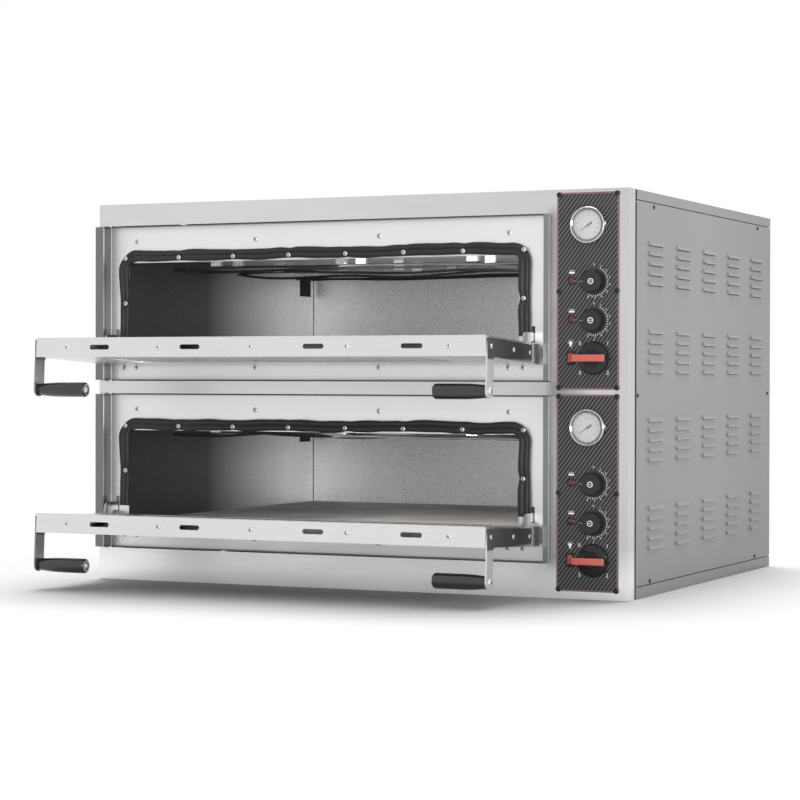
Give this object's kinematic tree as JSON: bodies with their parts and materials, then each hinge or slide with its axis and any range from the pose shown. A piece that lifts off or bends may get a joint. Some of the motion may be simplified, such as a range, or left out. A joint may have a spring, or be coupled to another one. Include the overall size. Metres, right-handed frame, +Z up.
{
  "type": "double-deck electric pizza oven",
  "caption": "Countertop pizza oven with stacked stone-floored chambers behind drop-down doors, and a control column with dial gauges, thermostat knobs and rotary switches.",
  "frame": {"origin": "centre of the base tray and front panel's common footprint, on the rest face under the oven", "axes": "+Z up; +Y runs from the doors to the rear panel; +X to the right as seen from in front"},
  "size_m": [1.131, 1.2023, 0.75],
  "materials": {
    "satin_stainless": "satin",
    "bracket_steel": "satin",
    "spring_steel": "satin",
    "grey_paint": "satin",
    "galvanised_sheet": "matte",
    "aluminised_sheet": "matte",
    "refractory_stone": "matte",
    "seal_rubber": "matte",
    "element_sheath": "matte",
    "mineral_wool": "matte",
    "screw_steel": "satin",
    "printed_control_film": "satin",
    "black_screw": "satin",
    "gauge_chrome": "polished",
    "gauge_dial": "matte",
    "gauge_glass": "gloss",
    "needle_black": "matte",
    "lamp_lens": "gloss",
    "lamp_glass": "gloss",
    "body_plastic": "matte",
    "switch_plastic": "satin",
    "terminal_ceramic": "matte",
    "grip_plastic": "satin",
    "knob_plastic": "satin",
    "handle_red": "satin",
    "window_glass": "gloss"
  },
  "bodies": {
    "casing": {"baking_stones_lower": "refractory_stone", "baking_stones_upper": "refractory_stone", "base_tray": "grey_paint", "bottom_elements": "element_sheath", "cable_gland": "body_plastic", "case_screws": "screw_steel", "chamber_lamps": "lamp_glass", "chamber_lower": "aluminised_sheet", "chamber_upper": "aluminised_sheet", "chassis_frame": "galvanised_sheet", "control_plate_screws": "black_screw", "control_plates": "printed_control_film", "divider_panel": "galvanised_sheet", "door_frame_lower": "satin_stainless", "door_frame_upper": "satin_stainless", "element_clips": "galvanised_sheet", "front_panel": "satin_stainless", "front_screws": "screw_steel", "gasket_lower": "seal_rubber", "gasket_upper": "seal_rubber", "gauge_cases": "gauge_chrome", "gauge_dials": "gauge_dial", "gauge_glasses": "gauge_glass", "hinge_arms": "bracket_steel", "hinge_springs": "spring_steel", "insulation": "mineral_wool", "pilot_lamps": "lamp_lens", "rear_panel": "grey_paint", "side_panel_left": "grey_paint", "side_panel_right": "grey_paint", "switch_bodies": "switch_plastic", "temperature_probes": "spring_steel", "terminal_block": "terminal_ceramic", "thermostats": "body_plastic", "top_cover": "satin_stainless", "top_elements": "element_sheath"},
    "door_lower": {"door_shell_lower": "satin_stainless", "door_liner_lower": "satin_stainless", "door_glazing_lower": "window_glass", "door_fasteners_lower": "screw_steel", "handle_brackets_lower": "bracket_steel", "handle_grips_lower": "grip_plastic", "hinge_brackets_lower": "bracket_steel"},
    "door_upper": {"door_shell_upper": "satin_stainless", "door_liner_upper": "satin_stainless", "door_glazing_upper": "window_glass", "door_fasteners_upper": "screw_steel", "handle_brackets_upper": "bracket_steel", "handle_grips_upper": "grip_plastic", "hinge_brackets_upper": "bracket_steel"},
    "knob_lower_bottom": {"knob_lower_bottom": "knob_plastic"},
    "knob_lower_top": {"knob_lower_top": "knob_plastic"},
    "gauge_needle_lower": {"gauge_needle_lower": "needle_black"},
    "main_switch_handle_lower": {"main_switch_handle_lower": "handle_red"},
    "light_rocker_lower": {"light_rocker_lower": "switch_plastic"},
    "knob_upper_bottom": {"knob_upper_bottom": "knob_plastic"},
    "knob_upper_top": {"knob_upper_top": "knob_plastic"},
    "gauge_needle_upper": {"gauge_needle_upper": "needle_black"},
    "main_switch_handle_upper": {"main_switch_handle_upper": "handle_red"},
    "light_rocker_upper": {"light_rocker_upper": "switch_plastic"}
  },
  "joints": [
    {"name": "door_lower_hinge", "type": "hinge", "parent": "casing", "child": "door_lower", "pos_m": [0, -0.47605, 0.1142], "axis": [-1, 0, 0], "range_deg": [0, 87]},
    {"name": "door_upper_hinge", "type": "hinge", "parent": "casing", "child": "door_upper", "pos_m": [0, -0.47605, 0.4482], "axis": [-1, 0, 0], "range_deg": [0, 87]},
    {"name": "knob_lower_bottom_turn", "type": "hinge", "parent": "casing", "child": "knob_lower_bottom", "pos_m": [0.495, -0.458, 0.1405], "axis": [0, 1, 0], "range_deg": [0, 215]},
    {"name": "knob_lower_top_turn", "type": "hinge", "parent": "casing", "child": "knob_lower_top", "pos_m": [0.495, -0.458, 0.2115], "axis": [0, 1, 0], "range_deg": [0, 215]},
    {"name": "gauge_needle_lower_swing", "type": "hinge", "parent": "casing", "child": "gauge_needle_lower", "pos_m": [0.485, -0.458, 0.3145], "axis": [0, 1, 0], "range_deg": [0, 248], "stiffness_Nm_per_rad": 0.001},
    {"name": "main_switch_lower_turn", "type": "hinge", "parent": "casing", "child": "main_switch_handle_lower", "pos_m": [0.495, -0.458, 0.072], "axis": [0, 1, 0], "range_deg": [-45, 45]},
    {"name": "light_rocker_lower_tilt", "type": "hinge", "parent": "casing", "child": "light_rocker_lower", "pos_m": [0.45, -0.458, 0.072], "axis": [1, 0, 0], "range_deg": [0, 18]},
    {"name": "knob_upper_bottom_turn", "type": "hinge", "parent": "casing", "child": "knob_upper_bottom", "pos_m": [0.495, -0.458, 0.5095], "axis": [0, 1, 0], "range_deg": [0, 215]},
    {"name": "knob_upper_top_turn", "type": "hinge", "parent": "casing", "child": "knob_upper_top", "pos_m": [0.495, -0.458, 0.5805], "axis": [0, 1, 0], "range_deg": [0, 215]},
    {"name": "gauge_needle_upper_swing", "type": "hinge", "parent": "casing", "child": "gauge_needle_upper", "pos_m": [0.485, -0.458, 0.6835], "axis": [0, 1, 0], "range_deg": [0, 248], "stiffness_Nm_per_rad": 0.001},
    {"name": "main_switch_upper_turn", "type": "hinge", "parent": "casing", "child": "main_switch_handle_upper", "pos_m": [0.495, -0.458, 0.441], "axis": [0, 1, 0], "range_deg": [-45, 45]},
    {"name": "light_rocker_upper_tilt", "type": "hinge", "parent": "casing", "child": "light_rocker_upper", "pos_m": [0.45, -0.458, 0.441], "axis": [1, 0, 0], "range_deg": [0, 18]}
  ]
}
